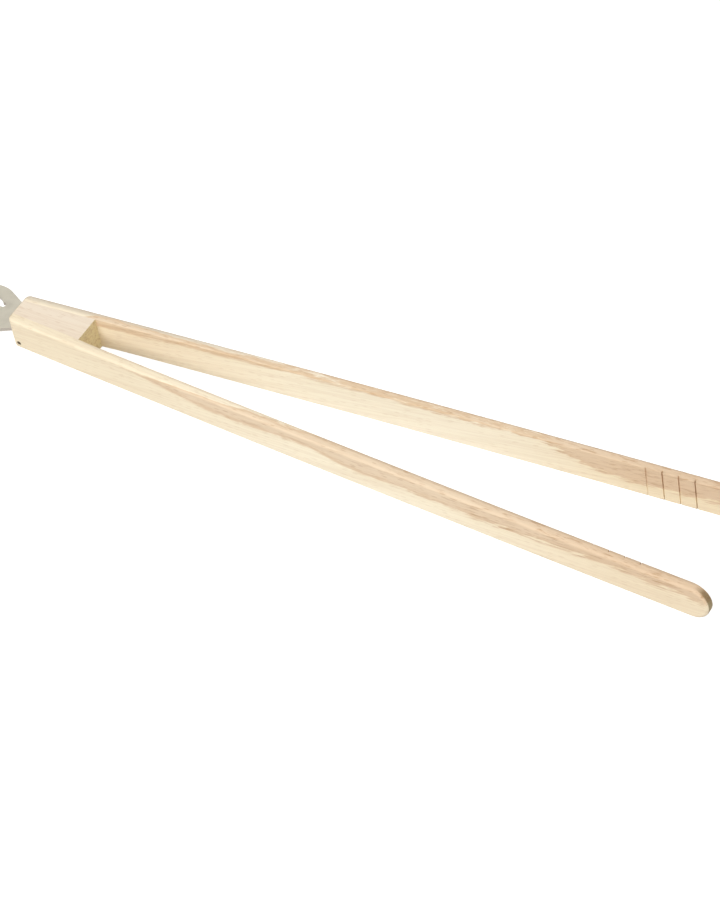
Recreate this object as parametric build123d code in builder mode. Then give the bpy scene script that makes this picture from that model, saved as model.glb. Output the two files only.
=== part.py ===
"""Beech spring tongs: two long springy arms on a wedge block, with a bottle opener in the handle end.

The tongs lie on their side. X runs from the handle to the tips, Y is the way the jaws open and Z is up.
The origin is the middle of the whole outline, on the surface that the tongs lie on.
"""

import os
from math import atan2, cos, sqrt, tan

from build123d import *

# Wood as a whole
wood_length = 420.0
arm_height = 20.0
arm_thickness = 4.9
jaw_opening = 60.0

# Wedge block between the arms
block_length = 44.5
block_back_width = 10.0
block_nose_width = 16.0

# Rounding of the arms
outer_edge_radius = 1.5
back_corner_radius = 3.0

# Shares of an arm's free length: the line that its bend can be gathered into, and its uncut blank
flex_share = 0.15
blank_share = 1.05

# Saw-cut gripping grooves across the inner face of each arm, with their depths from the tip backwards
groove_depths = (1.4, 0.9, 1.1, 0.5)
groove_pitch = 8.7
groove_width = 0.7
last_groove_to_tip = 38.0

# Stamped opener plate and its tang in the block's saw kerf
plate_thickness = 2.0
head_reach = 23.0
ring_width = 7.2
shoulder_width = 15.0
tang_length = 32.0
tang_side_clearance = 0.4
kerf_clearance = 0.1

# Cap opening in the head of the opener, with its lifting lip
cap_hole_radius = 10.0
lip_width = 7.4
lip_length = 5.0
lip_corner_radius = 1.4
relief_radius = 1.5

# Lost-head brad across the handle end, driven from the near side
brad_shank_radius = 0.7
brad_head_radius = 1.2
brad_head_depth = 1.2
brad_point_length = 2.0
brad_set = 0.2
brad_bite = 3.4
brad_to_back = 4.4
brad_height = 3.8

# Blind pin from the underside through the tang
pin_radius = 1.25
pin_point = 0.4
pin_to_back = 20.0
pin_recess = 0.3
pin_cover = 5.0

# Play of the brad and the pin in their holes
hole_clearance = 0.05

# Places and sizes that follow from the ones above
head_radius = cap_hole_radius + ring_width
opener_reach = head_reach + head_radius
back_x = (opener_reach - wood_length) / 2
nose_x = back_x + block_length
tip_x = back_x + wood_length
head_x = back_x - head_reach
pin_x = back_x + pin_to_back
brad_x = back_x + brad_to_back
mid_height = arm_height / 2
round_x = tip_x - arm_height / 2
tang_width = block_back_width - 2 * tang_side_clearance
pin_length = arm_height - pin_cover - pin_recess

# Half widths of the handle, which widens towards the block's nose
splay = atan2(block_nose_width - block_back_width, 2 * block_length)
back_outer_y = block_back_width / 2 + arm_thickness / cos(splay)
brad_inner_y = block_back_width / 2 + brad_to_back * tan(splay)
brad_outer_y = back_outer_y + brad_to_back * tan(splay)

os.makedirs("parts", exist_ok=True)


def save(part, name):
    """Label one piece and write it to its own file."""
    part.label = name
    export_step(part, f"parts/{name}.step")


# Inner line of the far arm: straight where it is glued to the block, then one gentle bow to the tip
back_inner = Vector(back_x, block_back_width / 2)
nose_inner = Vector(nose_x, block_nose_width / 2)
tip_inner = Vector(tip_x, jaw_opening / 2)
with BuildLine():
    glued_line = Line(back_inner, nose_inner)
    free_line = TangentArc(nose_inner, tip_inner, tangent=glued_line % 1)


def outer_point(share):
    """Point on the far arm's outer face, across the thickness from a point on its free inner line."""
    across = (free_line % share).rotate(Axis.Z, 90)
    return free_line @ share + across * arm_thickness


# Whole far arm, before it is parted at the flex line
with BuildPart() as far_arm:
    # Seen from above, a strip that runs on past the tip
    with BuildSketch(Plane.XY):
        with BuildLine():
            Line(back_inner, nose_inner)
            TangentArc(nose_inner, free_line @ blank_share, tangent=glued_line % 1)
            Line(free_line @ blank_share, outer_point(blank_share))
            TangentArc(outer_point(0), outer_point(blank_share), tangent=glued_line % 1)
            Line(outer_point(0), (back_x, back_outer_y))
            Line((back_x, back_outer_y), back_inner)
        make_face()
    extrude(amount=arm_height)

    # Rounded back corner, the upright edge furthest out at the handle end
    fillet(far_arm.edges().filter_by(Axis.Z).group_by(Axis.X)[0].sort_by(Axis.Y)[-1], back_corner_radius)

    # Seen from the side, the tip is cut half round
    with BuildSketch(Plane.XZ):
        with BuildLine():
            Polyline((round_x, 0), (back_x, 0), (back_x, arm_height), (round_x, arm_height))
            ThreePointArc((round_x, arm_height), (tip_x, mid_height), (round_x, 0))
        make_face()
    extrude(amount=-jaw_opening, mode=Mode.INTERSECT)

    # Softened edges all round the outer face, and from there round the back corner
    outer_faces = far_arm.faces().filter_by(lambda face: face.normal_at().Y > 0.9)
    fillet(outer_faces.edges().filter_by(Axis.Z, reverse=True), outer_edge_radius)

    # Gripping grooves, square to the bow
    for index, groove_depth in enumerate(groove_depths):
        share = 1 - (last_groove_to_tip + index * groove_pitch) / free_line.length
        groove_plane = Plane(origin=free_line @ share, x_dir=free_line % share, z_dir=(0, 0, 1))
        with BuildSketch(groove_plane):
            Rectangle(groove_width, 2 * groove_depth)
        extrude(amount=arm_height, mode=Mode.SUBTRACT)

# The far arm is parted square to its inner line at the flex line
flex_plane = Plane(origin=free_line @ flex_share, x_dir=(0, 0, 1), z_dir=free_line % flex_share)


def brad_profile(play):
    """Half section of the brad, from its head on the near side to its point in the far arm."""
    head_y = brad_set - brad_outer_y
    point_y = brad_inner_y + brad_bite
    head = brad_head_radius + play
    shank = brad_shank_radius + play
    with BuildSketch(Plane.XY.offset(brad_height)) as profile:
        with BuildLine():
            Polyline(
                (brad_x, head_y),
                (brad_x + head, head_y),
                (brad_x + head, head_y + brad_head_depth + play),
                (brad_x + shank, head_y + brad_head_depth + play),
                (brad_x + shank, point_y - brad_point_length),
                (brad_x, point_y + play),
                close=True,
            )
        make_face()
    return profile.sketch


brad_axis = Axis((brad_x, 0, brad_height), (0, 1, 0))

with BuildPart() as far_arm_root:
    add(far_arm.part)
    split(bisect_by=flex_plane, keep=Keep.BOTTOM)
    revolve(brad_profile(hole_clearance), axis=brad_axis, mode=Mode.SUBTRACT)
save(far_arm_root.part, "far_arm_root")

with BuildPart() as far_arm_limb:
    add(far_arm.part)
    split(bisect_by=flex_plane, keep=Keep.TOP)
save(far_arm_limb.part, "far_arm_limb")

with BuildPart() as near_arm_root:
    add(far_arm.part)
    split(bisect_by=flex_plane, keep=Keep.BOTTOM)
    mirror(about=Plane.XZ, mode=Mode.REPLACE)
    revolve(brad_profile(hole_clearance), axis=brad_axis, mode=Mode.SUBTRACT)
    with BuildSketch(Plane.XZ.offset(brad_outer_y - brad_set)):
        with Locations((brad_x, brad_height)):
            Circle(brad_head_radius + hole_clearance)
    extrude(amount=2 * brad_set, mode=Mode.SUBTRACT)
save(near_arm_root.part, "near_arm_root")

with BuildPart() as near_arm_limb:
    add(far_arm.part)
    split(bisect_by=flex_plane, keep=Keep.TOP)
    mirror(about=Plane.XZ, mode=Mode.REPLACE)
save(near_arm_limb.part, "near_arm_limb")

# Wedge block, with the saw kerf for the tang open at the back
with BuildPart() as wedge_block:
    with BuildSketch(Plane.XY):
        with BuildLine():
            Polyline(
                (back_x, -block_back_width / 2),
                (nose_x, -block_nose_width / 2),
                (nose_x, block_nose_width / 2),
                (back_x, block_back_width / 2),
                close=True,
            )
        make_face()
    extrude(amount=arm_height)

    # Back edges softened with those of the arms
    fillet(wedge_block.edges().filter_by(Axis.Y).group_by(Axis.X)[0], outer_edge_radius)

    # Kerf, hole of the blind pin and hole of the brad
    with BuildSketch(Plane.XZ):
        with Locations((back_x, mid_height)):
            Rectangle(2 * (tang_length + kerf_clearance), plate_thickness + 2 * kerf_clearance)
    extrude(amount=block_nose_width, both=True, mode=Mode.SUBTRACT)
    with BuildSketch(Plane.XY):
        with Locations((pin_x, 0)):
            Circle(pin_radius + hole_clearance)
    extrude(amount=pin_recess + pin_length + hole_clearance, mode=Mode.SUBTRACT)
    revolve(brad_profile(hole_clearance), axis=brad_axis, mode=Mode.SUBTRACT)
save(wedge_block.part, "wedge_block")

# Opener stamped from flat plate: round head, flare down to the shoulder, tang in the kerf
relief_y = lip_width / 2 + relief_radius
relief_x = head_x + sqrt(cap_hole_radius**2 - relief_y**2)
lip_tip_x = head_x + cap_hole_radius - lip_length
lip_root_x = back_x - relief_radius
with BuildPart() as bottle_opener:
    with BuildSketch(Plane.XY.offset(mid_height - plate_thickness / 2)):
        with BuildLine():
            CenterArc((head_x, 0), head_radius, 0, 360)
            Line((back_x, -shoulder_width / 2), (back_x, shoulder_width / 2))
        make_hull()
        with Locations((back_x + tang_length / 2, 0)):
            Rectangle(tang_length, tang_width)
        with Locations((head_x, 0)):
            Circle(cap_hole_radius, mode=Mode.SUBTRACT)
        with Locations((relief_x, -relief_y), (relief_x, relief_y)):
            Circle(relief_radius, mode=Mode.SUBTRACT)
        with Locations(((lip_tip_x + lip_root_x) / 2, 0)):
            RectangleRounded(lip_root_x - lip_tip_x, lip_width, lip_corner_radius)
        with Locations((pin_x, 0)):
            Circle(pin_radius + hole_clearance, mode=Mode.SUBTRACT)
    extrude(amount=plate_thickness)
save(bottle_opener.part, "bottle_opener")

# Blind pin through the tang, set just inside the underside
with BuildPart() as tang_pin:
    with BuildSketch(Plane.XY.offset(pin_recess)):
        with Locations((pin_x, 0)):
            Circle(pin_radius)
    extrude(amount=pin_length)
    chamfer(tang_pin.edges().group_by(Axis.Z)[-1], pin_point)
save(tang_pin.part, "tang_pin")

with BuildPart() as cross_brad:
    revolve(brad_profile(0), axis=brad_axis)
save(cross_brad.part, "cross_brad")

print("far flex line passes", free_line @ flex_share)
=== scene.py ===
"""Looks of the beech spring tongs: softened wood and steel, their finishes, a white studio and the camera.

Everything is in metres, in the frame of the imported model: X from the handle to the tips, Z up.
"""

from math import asin, atan2, cos, pi, radians, sin, sqrt, tan

import bmesh
import bpy
from mathutils import Matrix, Vector


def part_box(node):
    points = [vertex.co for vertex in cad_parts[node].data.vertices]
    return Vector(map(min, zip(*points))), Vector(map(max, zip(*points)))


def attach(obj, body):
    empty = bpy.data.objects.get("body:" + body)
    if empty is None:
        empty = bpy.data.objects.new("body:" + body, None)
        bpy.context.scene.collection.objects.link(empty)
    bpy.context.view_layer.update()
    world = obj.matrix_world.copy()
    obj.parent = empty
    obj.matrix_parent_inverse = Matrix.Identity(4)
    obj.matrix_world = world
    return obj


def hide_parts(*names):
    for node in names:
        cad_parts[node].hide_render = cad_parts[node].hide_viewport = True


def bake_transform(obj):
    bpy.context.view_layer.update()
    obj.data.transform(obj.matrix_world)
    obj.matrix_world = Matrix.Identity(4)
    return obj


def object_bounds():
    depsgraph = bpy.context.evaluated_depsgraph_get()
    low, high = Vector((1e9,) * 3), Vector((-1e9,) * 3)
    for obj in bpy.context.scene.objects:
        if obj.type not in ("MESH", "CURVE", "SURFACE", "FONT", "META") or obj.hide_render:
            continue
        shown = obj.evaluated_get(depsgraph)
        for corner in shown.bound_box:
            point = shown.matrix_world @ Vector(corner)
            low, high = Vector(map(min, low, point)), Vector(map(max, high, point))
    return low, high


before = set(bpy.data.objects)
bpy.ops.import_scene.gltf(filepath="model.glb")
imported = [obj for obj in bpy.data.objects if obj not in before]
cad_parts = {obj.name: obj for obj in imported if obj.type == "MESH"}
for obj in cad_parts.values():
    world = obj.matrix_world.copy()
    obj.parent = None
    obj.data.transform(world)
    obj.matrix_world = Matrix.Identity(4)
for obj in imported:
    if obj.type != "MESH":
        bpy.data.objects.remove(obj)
cad_low, cad_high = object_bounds()

MM = 0.001

# Sizes of the arms that the frame's boxes don't give
arm_thickness = 4.9 * MM
jaw_opening = 60.0 * MM
outer_edge = 1.5 * MM
free_inner_edge = 0.6 * MM
glued_inner_edge = 0.12 * MM
inner_edge_change = 12.0 * MM
back_corner = 3.0 * MM

# Gripping grooves, with their depths from the tip backwards
groove_depths = (1.4 * MM, 0.9 * MM, 1.1 * MM, 0.5 * MM)
groove_pitch = 8.7 * MM
groove_width = 0.7 * MM
groove_taper = 0.08 * MM
groove_bottom_share = 0.55
last_groove_to_tip = 38.0 * MM

# Head of the brad and its play in the hole
brad_head_depth = 1.2 * MM
brad_play = 0.05 * MM

# Softened edges of the other pieces
block_edge = 0.12 * MM
opener_edge = 0.35 * MM
nail_edge = 0.1 * MM

# Steps of the meshes
station_step = 6.0 * MM
groove_margin = 1.0 * MM
corner_steps = 3
edge_steps = 4
tip_steps = 14
bore_steps = 24

# An edge that turns by more than crease_angle is sharp, and faces within flat_angle are one flat face
crease_angle = radians(35)
flat_angle = radians(0.5)

# A face is square to an axis if that axis takes this share of its normal
square_share = 0.9999

# Vertices this close together are one, and vertices this close to the back end belong to it
weld_distance = 0.001 * MM
back_end_depth = 0.1 * MM

# Places from the frame
block_low, block_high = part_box("wedge_block")
back_x, nose_x = block_low.x, block_high.x
tip_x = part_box("far_arm_limb")[1].x
middle_x = (back_x + tip_x) / 2
arm_height = block_high.z
mid_height = arm_height / 2
round_x = tip_x - mid_height
block_corners = [vertex.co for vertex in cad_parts["wedge_block"].data.vertices]
back_ys = [corner.y for corner in block_corners if corner.x < back_x + back_end_depth]

# Inner line of the far arm: straight along the block, then an arc that leaves it smoothly and meets the tip
back_y, nose_y, tip_y = max(back_ys), block_high.y, jaw_opening / 2
splay = atan2(nose_y - back_y, nose_x - back_x)
reach, rise = tip_x - nose_x, tip_y - nose_y
bow_radius = (reach**2 + rise**2) / (2 * (reach * sin(splay) - rise * cos(splay)))
bow_x = nose_x + bow_radius * sin(splay)
bow_y = nose_y - bow_radius * cos(splay)


def inner_y(x):
    """Half of the gap between the arms at X."""
    if x < nose_x:
        return back_y + (x - back_x) * tan(splay)
    return bow_y + sqrt(bow_radius**2 - (x - bow_x) ** 2)


def arm_slant(x):
    """Angle of the far arm to the X axis at X."""
    if x < nose_x:
        return splay
    return atan2(bow_x - x, inner_y(x) - bow_y)


def ease(low, high, value):
    """0 below low, 1 above high and a smooth climb between them."""
    share = min(max((value - low) / (high - low), 0), 1)
    return share * share * (3 - 2 * share)


# Meshes

def place_mesh(name, bm):
    """Puts a bmesh into the scene as an object."""
    bmesh.ops.recalc_face_normals(bm, faces=bm.faces)
    mesh = bpy.data.meshes.new(name)
    bm.to_mesh(mesh)
    bm.free()
    placed = bpy.data.objects.new(name, mesh)
    bpy.context.scene.collection.objects.link(placed)
    return placed


def make_piece(name, bm, material, grain_of):
    """A piece of the tongs, whose wood or metal pattern follows its own lengthwise coordinates."""
    piece = place_mesh(name, bm)
    piece.data.materials.append(material)
    grain = piece.data.attributes.new("grain", "FLOAT_VECTOR", "POINT")
    for vertex, place in zip(piece.data.vertices, grain.data):
        place.vector = grain_of(vertex.co)
    return piece


def groove_stations():
    """Pairs of X and depth at the four corners of each groove, from the handle to the tip."""
    half = groove_width / 2
    for index, depth in reversed(list(enumerate(groove_depths))):
        middle = tip_x - last_groove_to_tip - index * groove_pitch
        yield middle - half, 0
        yield middle - half + groove_taper, depth
        yield middle + half - groove_taper, depth
        yield middle + half, 0


def arm_stations():
    """Pairs of X and groove depth along the straight part of the side outline."""
    grooves = list(groove_stations())
    first, last = grooves[0][0], grooves[-1][0]
    start = back_x + back_corner + outer_edge
    count = round((round_x - start) / station_step)
    plain = [start + (round_x - start) * index / count for index in range(count + 1)]
    clear = [(x, 0) for x in plain if not first - groove_margin < x < last + groove_margin]
    return sorted(clear + grooves)


stations = arm_stations()


def inner_edge(x):
    """Radius of the arm's inner edges, which are crisp where the block is glued on."""
    share = ease(nose_x, nose_x + inner_edge_change, x)
    return glued_inner_edge + (free_inner_edge - glued_inner_edge) * share


def arm_layers():
    """Steps through the thickness, each as two functions of X.

    The first gives the distance from the inner face, the second the inset of the side outline.
    """
    for step in range(edge_steps + 1):
        turn = pi / 2 * step / edge_steps
        yield (
            lambda x, t=turn: inner_edge(x) * (1 - cos(t)),
            lambda x, t=turn: inner_edge(x) * (1 - sin(t)),
        )
    for step in range(corner_steps):
        turn = asin(1 - outer_edge / back_corner) * step / corner_steps
        through = arm_thickness - back_corner * (1 - sin(turn))
        yield (lambda x, a=through: a), (lambda x: 0)
    for step in range(edge_steps + 1):
        turn = pi / 2 * (1 - step / edge_steps)
        through = arm_thickness - outer_edge * (1 - cos(turn))
        inset = outer_edge * (1 - sin(turn))
        yield (lambda x, a=through: a), (lambda x, e=inset: e)


def side_outline(through, inset):
    """One layer's side outline, from the back end to the tip: X, half height and groove depth."""
    bulge = max(through(back_x) - (arm_thickness - back_corner), 0)
    back = back_x + back_corner - sqrt(back_corner**2 - bulge**2)
    radius = outer_edge - min(inset(back_x), outer_edge)
    for step in range(corner_steps + 1):
        turn = pi / 2 * step / corner_steps
        yield back + radius * (1 - cos(turn)), mid_height - inset(back_x) - radius * (1 - sin(turn)), 0
    for x, depth in stations:
        yield x, mid_height - inset(x), depth
    tip_radius = mid_height - inset(tip_x)
    for step in range(1, tip_steps + 1):
        turn = pi / 2 * (1 - step / tip_steps)
        yield round_x + tip_radius * cos(turn), tip_radius * sin(turn), 0


def arm_mesh(side):
    """A whole arm, in layers from its inner to its outer face; side is 1 for far and -1 for near."""
    bm = bmesh.new()
    rings = []
    for through, inset in arm_layers():
        lower, upper, depths = [], [], []
        for x, half, depth in side_outline(through, inset):
            depths.append(depth)
            for row, height, cut in (lower, -half, depth * groove_bottom_share), (upper, half, depth):
                sunk = cut + through(x) * (1 - cut / arm_thickness)
                row.append((x, side * (inner_y(x) + sunk / cos(arm_slant(x))), mid_height + height))
        lower = [bm.verts.new(place) for place in lower]
        upper = [bm.verts.new(place) for place in upper[:-1]] + [lower[-1]]
        rings.append((lower, upper))
    depths += depths[-2::-1]
    for (low_a, up_a), (low_b, up_b) in zip(rings, rings[1:]):
        loop_a, loop_b = low_a + up_a[-2::-1], low_b + up_b[-2::-1]
        for index in range(len(loop_a)):
            corners = loop_a[index - 1], loop_a[index], loop_b[index], loop_b[index - 1]
            bm.faces.new(corners).smooth = not (depths[index - 1] or depths[index])
    for lower, upper in (rings[0], rings[-1]):
        for index in range(len(lower) - 1):
            corners = [lower[index], lower[index + 1], upper[index + 1], upper[index]]
            bm.faces.new(dict.fromkeys(corners))
    return bm


def with_brad_hole(bm):
    """The near arm, bored for the head of the brad."""
    low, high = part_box("cross_brad")
    middle, radius = (low + high) / 2, (high.x - low.x) / 2 + brad_play
    bore = bmesh.new()
    bmesh.ops.create_cone(
        bore,
        cap_ends=True,
        segments=bore_steps,
        radius1=radius,
        radius2=radius,
        depth=2 * (brad_head_depth + brad_play),
        matrix=Matrix.Translation((middle.x, low.y, middle.z)) @ Matrix.Rotation(pi / 2, 4, "X"),
    )
    wood, drill = place_mesh("wood", bm), place_mesh("drill", bore)
    wood.modifiers.new("hole", "BOOLEAN").object = drill
    bored = bmesh.new()
    bored.from_object(wood, bpy.context.evaluated_depsgraph_get())
    for used in (wood, drill):
        bpy.data.meshes.remove(used.data)
    return bored


def creased(bm):
    """The same shape, with its sharp edges kept crisp when it is shaded."""
    for edge in bm.edges:
        edge.smooth = edge.calc_face_angle(0) < crease_angle
    return bm


def arm_grain(place):
    """An arm's own coordinates in millimetres: along it, through it from the inner face, and up."""
    return place.x / MM, (abs(place.y) - inner_y(place.x)) / MM, place.z / MM


def frame_grain(place):
    """The frame's coordinates in millimetres."""
    return place / MM


def softened(node, radius, steps):
    """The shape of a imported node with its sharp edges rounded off; faces square to an axis look flat."""
    bm = bmesh.new()
    bm.from_mesh(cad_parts[node].data)
    bmesh.ops.remove_doubles(bm, verts=bm.verts, dist=weld_distance)
    bmesh.ops.dissolve_limit(bm, angle_limit=flat_angle, verts=bm.verts, edges=bm.edges)
    sharp = [edge for edge in bm.edges if edge.calc_face_angle(0) > crease_angle]
    bmesh.ops.bevel(
        bm,
        geom=sharp,
        offset=radius,
        offset_type="OFFSET",
        segments=steps,
        profile=0.5,
        affect="EDGES",
        clamp_overlap=True,
    )
    for face in bm.faces:
        face.smooth = max(map(abs, face.normal)) < square_share
    return bm


# Shader building

class Shader:
    """A material and its principled shader, with calls that add nodes and return their output sockets."""

    def __init__(self, name, **values):
        self.material = bpy.data.materials.new(name)
        self.material.use_nodes = True
        self.tree = self.material.node_tree
        self.surface = self.tree.nodes["Principled BSDF"]
        for socket, value in values.items():
            self.surface.inputs[socket.replace("_", " ")].default_value = value
        self.grain = self.node("Attribute", attribute_name="grain").outputs["Vector"]

    def node(self, kind, *inputs, **settings):
        """Adds a node and fills its inputs in order, skipping those that are None."""
        node = self.tree.nodes.new("ShaderNode" + kind)
        for name, value in settings.items():
            setattr(node, name, value)
        for socket, value in zip(node.inputs, inputs):
            self.put(socket, value)
        return node

    def put(self, socket, value):
        """Links a socket to an input, or sets the input to a plain value."""
        if isinstance(value, bpy.types.NodeSocket):
            self.tree.links.new(value, socket)
        elif value is not None:
            socket.default_value = value

    def drive(self, socket, value):
        """Fills an input of the principled shader, by its name."""
        self.put(self.surface.inputs[socket], value)

    def math(self, operation, *inputs):
        """The result of a math node."""
        return self.node("Math", *inputs, operation=operation).outputs[0]

    def stretch(self, *cell):
        """The grain coordinates, counted in cells of that many millimetres along, through and up."""
        return self.node("VectorMath", self.grain, cell, operation="DIVIDE").outputs[0]

    def noise(self, cell, detail=2.0, roughness=0.5, distortion=0.0):
        """Noise around 0, from about -1 to 1."""
        texture = self.node("TexNoise", self.stretch(*cell))
        texture.inputs["Scale"].default_value = 1.0
        texture.inputs["Detail"].default_value = detail
        texture.inputs["Roughness"].default_value = roughness
        texture.inputs["Distortion"].default_value = distortion
        return self.math("MULTIPLY_ADD", texture.outputs["Fac"], 4.0, -2.0)

    def step(self, value, low, high):
        """0 below low, 1 above high and a smooth climb between them."""
        ramp = self.node("MapRange", value, low, high, 0.0, 1.0, interpolation_type="SMOOTHSTEP")
        return ramp.outputs[0]

    def blend(self, share, colour_a, colour_b, blend_type="MIX"):
        """One colour where share is 0, going over to the other where it is 1."""
        mix = self.node("Mix", share, data_type="RGBA", blend_type=blend_type)
        input_a, input_b = mix.inputs[6:8]
        self.put(input_a, colour_a)
        self.put(input_b, colour_b)
        return mix.outputs[2]


def colour(red, green, blue):
    """A linear colour from screen values of 0 to 255."""
    parts = [part / 255 for part in (red, green, blue)]
    linear = [part / 12.92 if part < 0.04045 else ((part + 0.055) / 1.055) ** 2.4 for part in parts]
    return (*linear, 1.0)


# Sapwood at the handle, in the middle and at the tip of each arm, and painted shade on the far arm's top
# face at the handle
near_sapwood = colour(245, 230, 201), colour(254, 242, 216), colour(245, 228, 198)
# The far arm's sapwood is painted lighter than the near arm's, painted light that offsets the shade between
# the arms
far_sapwood_painted_lighter = colour(252, 238, 211), colour(255, 246, 224), colour(245, 228, 196)
far_handle_top_shade = colour(216, 204, 183)

# Other tones of the wood, painted shade for the top edges on the back side, and the tints that darken its
# end grain
block_wood = colour(240, 225, 204)
heartwood = colour(235, 213, 184)
tip_heartwood = colour(226, 199, 168)
heart_line = colour(224, 196, 162)
dark_streak = colour(188, 150, 112)
back_edge_shade = colour(158, 138, 114)
fleck_brown = colour(186, 146, 104)
arm_end_tint = colour(177, 170, 149)
plain_white = colour(255, 255, 255)
block_end_tint = colour(255, 255, 224)

# Steel, on its flat faces, and darker on its upright walls as painted shade
opener_tone, opener_wall_shade = colour(206, 200, 184), colour(168, 160, 150)
nail_tone, nail_wall_shade = colour(104, 92, 74), colour(96, 84, 68)

# Climb of the wood's fibres along the arms and along the block
arm_fibre_slope = 0.1
block_fibre_slope = 0.0


def arm_tones(shader, along, sapwood, heart_height, to_back_edge, sapwood_edge_shade):
    """Sapwood that changes along the arm, with brown heartwood behind a feathered darker border.

    heart_height is how far a point lies inside the heartwood. All lengths are in millimetres.
    """
    handle, middle, tip = sapwood
    pale = shader.blend(shader.step(along, -130.0, 0.0), handle, middle)
    pale = shader.blend(shader.step(along, 50.0, 190.0), pale, tip)
    heart = shader.blend(shader.step(along, 70.0, 190.0), heartwood, tip_heartwood)

    wobble = shader.noise((60, 5, 5), detail=3, roughness=0.6)
    feather = shader.noise((14, 1.7, 1.7), detail=4, roughness=0.65, distortion=0.3)
    spread = shader.node("MapRange", along, 40.0, 110.0, 1.7, 4.0).outputs[0]
    inside = shader.math("MULTIPLY_ADD", wobble, 1.0, heart_height)
    inside = shader.math("MULTIPLY_ADD", feather, spread, inside)
    line = shader.blend(shader.step(inside, -1.8, 0.8), pale, heart_line)
    wood = shader.blend(shader.step(inside, 0.4, 2.4), line, heart)

    # Dark streaks in the heartwood, stronger towards the tip
    in_heart = shader.step(inside, -0.4, 1.2)
    strength = shader.node("MapRange", along, 60.0, 140.0, 0.4, 1.0).outputs[0]
    streak = shader.noise((14, 1.5, 1.5), detail=4, roughness=0.65, distortion=0.4)
    streak = shader.math("MULTIPLY", shader.step(streak, 0.0, 1.0), strength)
    wood = shader.blend(shader.math("MULTIPLY", streak, in_heart), wood, dark_streak)

    # Painted shade darkens the top edge on the back side, most in the heartwood
    edge_shade_strength = shader.math("MAXIMUM", shader.math("MULTIPLY", in_heart, 0.5), sapwood_edge_shade)
    edge_shade = shader.math("MULTIPLY", shader.step(to_back_edge, 2.2, 0.4), edge_shade_strength)
    wood = shader.blend(edge_shade, wood, back_edge_shade)

    # End grain shows at both ends, and the wood is flecked more in the heart
    to_middle = shader.math("ABSOLUTE", shader.math("SUBTRACT", along, middle_x / MM))
    end_tint = shader.blend(shader.step(to_middle, 190.0, 200.0), plain_white, arm_end_tint)
    fleck_share = shader.math("MULTIPLY_ADD", in_heart, 0.22, 0.16)
    return wood, fleck_share, end_tint


def beech(name, slope, wood_tones):
    """Planed beech, whose fibres climb at that slope.

    wood_tones gives the colour of the wood, how much it is flecked and the tint of its end grain.
    """
    shader = Shader(name, Specular_IOR_Level=0.3)
    along, through, up = shader.node("SeparateXYZ", shader.grain).outputs
    across = shader.math("MULTIPLY_ADD", along, -slope, up)
    shader.grain = shader.node("CombineXYZ", along, through, across).outputs[0]
    wide_tone = shader.noise((90, 5, 5), detail=3)
    fibre = shader.noise((16, 0.4, 0.4), detail=3, roughness=0.6)
    wood, fleck_share, end_tint = wood_tones(shader, along, through, up)
    wood = shader.blend(shader.math("MULTIPLY", shader.step(wide_tone, -0.6, 1.0), 0.14), wood, heart_line)

    # Growth rings: faint darker lines, unevenly apart, that drift along the grain
    drift = shader.math("ABSOLUTE", shader.noise((110, 2.6, 2.6), detail=2))
    wood = shader.blend(shader.math("MULTIPLY", shader.step(drift, 0.3, 0.0), 0.1), wood, fleck_brown)

    # Fine fibres and the short brown flecks of beech
    wood = shader.blend(shader.math("MULTIPLY", shader.step(fibre, 0.1, 1.4), 0.24), wood, fleck_brown)
    cells = shader.node("TexVoronoi", shader.stretch(6, 1, 1), None, 1.0)
    chance = shader.node("SeparateColor", cells.outputs["Color"]).outputs[0]
    core = shader.step(cells.outputs["Distance"], 0.4, 0.2)
    fleck = shader.math("MULTIPLY", core, shader.step(chance, 0.5, 0.6))
    wood = shader.blend(shader.math("MULTIPLY", fleck, fleck_share), wood, fleck_brown)

    # End grain is darker and full of pores
    facing = shader.node("SeparateXYZ", shader.node("NewGeometry").outputs["Normal"]).outputs
    endways, sideways = (shader.math("ABSOLUTE", facing[axis]) for axis in (0, 1))
    end_grain = shader.step(shader.math("SUBTRACT", endways, sideways), 0.15, 0.75)
    pores = shader.step(shader.noise((40, 1.3, 1.3), detail=3), -0.3, 1.1)
    end_wood = shader.blend(shader.math("MULTIPLY", pores, 0.5), wood, fleck_brown)
    end_wood = shader.blend(1.0, end_wood, end_tint, "MULTIPLY")
    wood = shader.blend(end_grain, wood, end_wood)
    shader.drive("Base Color", wood)

    rough = shader.math("MULTIPLY_ADD", fibre, 0.05, 0.6)
    shader.drive("Roughness", shader.math("MULTIPLY_ADD", fleck, 0.08, rough))
    relief = shader.math("SUBTRACT", shader.math("MULTIPLY", fibre, 0.3), fleck)
    bump = shader.node("Bump", 0.3, 0.05 * MM)
    shader.put(bump.inputs["Height"], relief)
    shader.drive("Normal", bump.outputs[0])
    return shader.material


# Lower borders of the heartwood on the faces that show, as pairs of X and height in millimetres
near_border = [
    (-190, 24), (-130, 22), (-112, 18.6), (-90, 15.4), (-65, 13.2), (-46, 12.4), (-27, 13.8), (-3, 14.6),
    (27, 11), (57, 11.6), (115, 11.8), (143, 13.6), (176, 14.8), (204, 14), (221, 13.8), (230, 13.6),
]
far_border = [
    (-190, 25), (-154, 23), (-144, 16), (-126, 16.2), (-90, 17.6), (-55, 18.4), (-20, 19.2), (3, 19.4),
    (60, 19.2), (87, 19), (108, 18.8), (119, 17), (127, 13), (134, 10.2), (142, 8.6), (163, 7.6),
    (176, 8.6), (186, 9.4), (230, 8),
]


def curve_along(shader, along, points):
    """A height that follows the arm, through points of X and height in millimetres."""
    low, high, ceiling = back_x / MM, tip_x / MM, 30.0
    share = shader.node("MapRange", along, low, high).outputs[0]
    node = shader.node("FloatCurve", 1.0, share)
    curve = node.mapping.curves[0]
    for index, (x, height) in enumerate(points):
        place = (x - low) / (high - low), height / ceiling
        if index < 2:
            curve.points[index].location = place
        else:
            curve.points.new(*place)
    node.mapping.update()
    return shader.math("MULTIPLY", node.outputs[0], ceiling)


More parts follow.
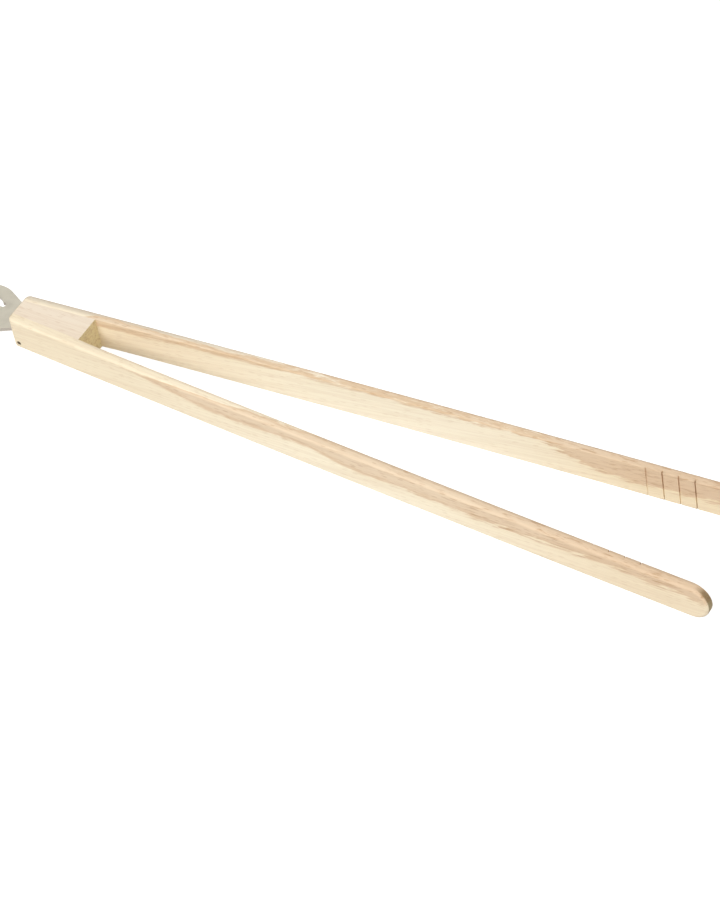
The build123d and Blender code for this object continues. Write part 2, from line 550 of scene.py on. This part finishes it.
def near_tones(shader, along, through, up):
    """The near arm's heartwood starts on the outer face, crosses the top and comes down the inner face."""
    border = curve_along(shader, along, near_border)
    roof = shader.node("MapRange", along, -112.0, -60.0, 16.5, 24.0).outputs[0]
    above, below = shader.math("SUBTRACT", up, border), shader.math("SUBTRACT", roof, up)
    streak = shader.math("MINIMUM", above, below)
    depth = shader.math("SUBTRACT", arm_thickness / MM, through)
    crossing = shader.node("MapRange", along, -65.0, -38.0, 4.5, 0.0).outputs[0]
    descent = shader.node("MapRange", along, -38.0, 40.0, 1.5, 0.3).outputs[0]
    tilt = shader.math("ADD", crossing, descent)
    heart_height = shader.math("SUBTRACT", streak, shader.math("MULTIPLY", depth, tilt))
    to_back_edge = shader.math("ADD", through, shader.math("SUBTRACT", arm_height / MM, up))
    # Painted shade on the sapwood's back top edge begins past the block
    free_of_block = shader.node("MapRange", along, -150.0, -140.0, 0.0, 0.3).outputs[0]
    return arm_tones(shader, along, near_sapwood, heart_height, to_back_edge, free_of_block)


def far_tones(shader, along, through, up):
    """The far arm's heartwood runs along the inner top edge, takes in the top and drops at the grooves."""
    border = curve_along(shader, along, far_border)
    tilt = shader.node("MapRange", along, -110.0, 0.0, 1.6, 0.0).outputs[0]
    above = shader.math("SUBTRACT", up, border)
    heart_height = shader.math("SUBTRACT", above, shader.math("MULTIPLY", through, tilt))
    depth = shader.math("SUBTRACT", arm_thickness / MM, through)
    to_back_edge = shader.math("ADD", depth, shader.math("SUBTRACT", arm_height / MM, up))
    # Painted shade greys the far arm's top face at the handle, more towards its back edge
    top_shade_share = shader.math("MULTIPLY", shader.step(depth, 5.0, 1.5), shader.step(up, 18.0, 19.5))
    handle, middle, tip = far_sapwood_painted_lighter
    sapwood = shader.blend(top_shade_share, handle, far_handle_top_shade), middle, tip
    return arm_tones(shader, along, sapwood, heart_height, to_back_edge, sapwood_edge_shade=0.2)


def block_tones(shader, along, through, up):
    """The block is sapwood alone."""
    fleck_share = 0.18
    return block_wood, fleck_share, block_end_tint


def steel(name, tone, wall_shade_tone, rough):
    """Tumbled steel with fine scratches, its upright walls painted darker as shade."""
    shader = Shader(name, Metallic=1.0)
    mottle = shader.noise((6, 6, 6), detail=3)
    scratch = shader.noise((0.25, 5, 5), detail=3, roughness=0.6)
    darker = tuple(part * 0.72 for part in tone[:3]) + (1.0,)
    share = shader.math("MULTIPLY", shader.step(mottle, -0.8, 1.2), 0.5)
    facing = shader.node("SeparateXYZ", shader.node("NewGeometry").outputs["Normal"]).outputs[2]
    # Painted shade: the upright walls take the darker wall tone
    wall_shade_share = shader.step(shader.math("ABSOLUTE", facing), 0.9, 0.5)
    shader.drive("Base Color", shader.blend(wall_shade_share, shader.blend(share, tone, darker), wall_shade_tone))
    shader.drive("Roughness", shader.math("MULTIPLY_ADD", scratch, 0.05, rough))
    bump = shader.node("Bump", 0.2, 0.03 * MM)
    shader.put(bump.inputs["Height"], scratch)
    shader.drive("Normal", bump.outputs[0])
    return shader.material


# Pieces

arms = (
    ("near", with_brad_hole(arm_mesh(-1)), near_tones),
    ("far", arm_mesh(1), far_tones),
)
for arm, shape, tones in arms:
    arm_finish = beech(f"beech_{arm}", arm_fibre_slope, tones)
    piece = make_piece(f"{arm}_arm", creased(shape), arm_finish, arm_grain)
    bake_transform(piece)
    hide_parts(f"{arm}_arm_root", f"{arm}_arm_limb")

block_finish = beech("beech_block", block_fibre_slope, block_tones)
block = make_piece("block", softened("wedge_block", block_edge, steps=2), block_finish, frame_grain)
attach(block, "handle")
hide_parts("wedge_block")

opener_finish = steel("opener_steel", opener_tone, opener_wall_shade, rough=0.34)
opener = make_piece("opener", softened("bottle_opener", opener_edge, steps=3), opener_finish, frame_grain)
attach(opener, "handle")
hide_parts("bottle_opener")

nail_finish = steel("nail_steel", nail_tone, nail_wall_shade, rough=0.6)
for name, node in (("brad", "cross_brad"), ("blind_pin", "tang_pin")):
    nail = make_piece(name, softened(node, nail_edge, steps=2), nail_finish, frame_grain)
    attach(nail, "handle")
    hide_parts(node)

# Studio

floor_half_width = 3.0
floor_gap = 0.2 * MM
floor_grey = (0.5, 0.5, 0.5, 1.0)
floor_glow = 0.8
world_strength = 0.4
tongs_middle = (0.0, 0.0, mid_height)


def make_floor():
    """A plain floor that shows white to the camera and still takes the shadow."""
    bm = bmesh.new()
    bmesh.ops.create_grid(bm, x_segments=1, y_segments=1, size=floor_half_width)
    floor = place_mesh("floor", bm)
    floor.location.z = cad_low.z - floor_gap
    shader = Shader("floor", Roughness=0.9, Specular_IOR_Level=0.0, Base_Color=floor_grey)
    rays = shader.node("LightPath").outputs
    seen = shader.math("MAXIMUM", rays["Is Camera Ray"], rays["Is Glossy Ray"])
    seen = shader.math("MAXIMUM", seen, rays["Is Transmission Ray"])
    shader.surface.inputs["Emission Color"].default_value = (1.0, 1.0, 1.0, 1.0)
    shader.drive("Emission Strength", shader.math("MULTIPLY", seen, floor_glow))
    floor.data.materials.append(shader.material)


def make_world():
    """Even light from all round, white to the camera and in the metal."""
    world = bpy.data.worlds.new("studio")
    world.use_nodes = True
    nodes, links = world.node_tree.nodes, world.node_tree.links
    background = nodes["Background"]
    background.inputs["Color"].default_value = (1.0, 1.0, 1.0, 1.0)
    rays = nodes.new("ShaderNodeLightPath")
    seen = nodes.new("ShaderNodeMapRange")
    seen.inputs["To Min"].default_value = world_strength
    seen.inputs["To Max"].default_value = 1.0
    bright = nodes.new("ShaderNodeMath")
    bright.operation = "MAXIMUM"
    links.new(rays.outputs["Is Camera Ray"], bright.inputs[0])
    links.new(rays.outputs["Is Glossy Ray"], bright.inputs[1])
    links.new(bright.outputs[0], seen.inputs["Value"])
    links.new(seen.outputs[0], background.inputs["Strength"])
    bpy.context.scene.world = world


def make_softbox(name, place, size, watts):
    """A square soft light, turned to the tongs, that doesn't show in the metal."""
    lamp = bpy.data.lights.new(name, "AREA")
    lamp.size = size
    lamp.energy = watts
    light = bpy.data.objects.new(name, lamp)
    light.visible_glossy = False
    light.location = place
    light.rotation_mode = "QUATERNION"
    light.rotation_quaternion = (Vector(tongs_middle) - Vector(place)).to_track_quat("-Z", "Y")
    bpy.context.scene.collection.objects.link(light)


def make_camera():
    """The photograph's camera, turned about the middle of the wood."""
    azimuth, elevation, roll = radians(38.0965), radians(45.5904), radians(-10.8733)
    target, distance = Vector((middle_x, 0, mid_height)), 1800.47 * MM
    back = Vector((sin(azimuth) * cos(elevation), -cos(azimuth) * cos(elevation), sin(elevation)))
    level = Vector((cos(azimuth), sin(azimuth), 0))
    upright = back.cross(level)
    right = level * cos(roll) + upright * sin(roll)
    camera = bpy.data.objects.new("camera", bpy.data.cameras.new("camera"))
    turn = Matrix((right, back.cross(right), back)).transposed().to_4x4()
    camera.matrix_world = Matrix.Translation(target + back * distance) @ turn
    camera.data.lens = 144.0
    camera.data.sensor_width = 36.0
    camera.data.shift_x = -0.00314
    camera.data.shift_y = -0.01836
    bpy.context.scene.collection.objects.link(camera)
    bpy.context.scene.camera = camera


make_floor()
make_world()
make_softbox("key", place=(-0.35, -1.85, 1.75), size=1.2, watts=45.5)
make_softbox("fill", place=(2.6, -0.7, 2.2), size=1.6, watts=29.0)
make_softbox("back", place=(-0.4, 2.4, 0.35), size=1.0, watts=22.0)
make_camera()
bpy.context.scene.view_settings.view_transform = "Standard"
